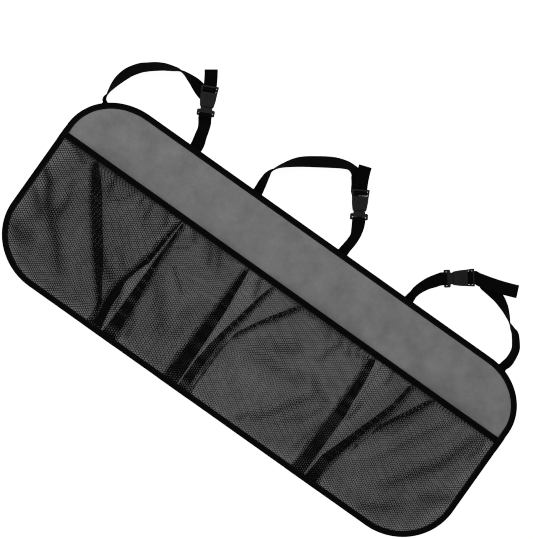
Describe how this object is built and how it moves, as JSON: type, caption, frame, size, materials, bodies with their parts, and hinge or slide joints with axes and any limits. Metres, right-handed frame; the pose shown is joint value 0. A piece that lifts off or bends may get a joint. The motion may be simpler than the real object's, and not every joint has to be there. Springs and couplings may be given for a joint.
{
  "type": "trunk organizer",
  "caption": "Wide fabric panel with a row of flat net pockets along its lower part, bound edges, and buckled web straps along its top edge for hanging it in a car's luggage space.",
  "frame": {"origin": "Middle of the back panel's flat back face, the face that rests against the seat or the boot wall.", "axes": "+X runs along the mouth of the pockets (the long way), +Y points from the pockets towards the straps, +Z points out of the panel's front, the net side."},
  "size_m": [1.03, 0.5625, 0.0277],
  "materials": {
    "felt": "matte grey needle felt",
    "net": "matte black hexagonal knit net",
    "webbing": "matte black woven webbing and binding tape",
    "plastic": "moulded black, fine satin"
  },
  "bodies": {
    "root": {"back_panel": "felt", "edge_binding": "webbing", "net_front": "net", "mouth_binding": "webbing", "long_strap_left": "webbing", "long_strap_middle": "webbing", "long_strap_right": "webbing", "short_strap_left": "webbing", "short_strap_middle": "webbing", "short_strap_right": "webbing", "buckle_socket_left": "plastic", "buckle_socket_middle": "plastic", "buckle_socket_right": "plastic", "buckle_prong_left": "plastic", "buckle_prong_middle": "plastic", "buckle_prong_right": "plastic"}
  },
  "joints": []
}
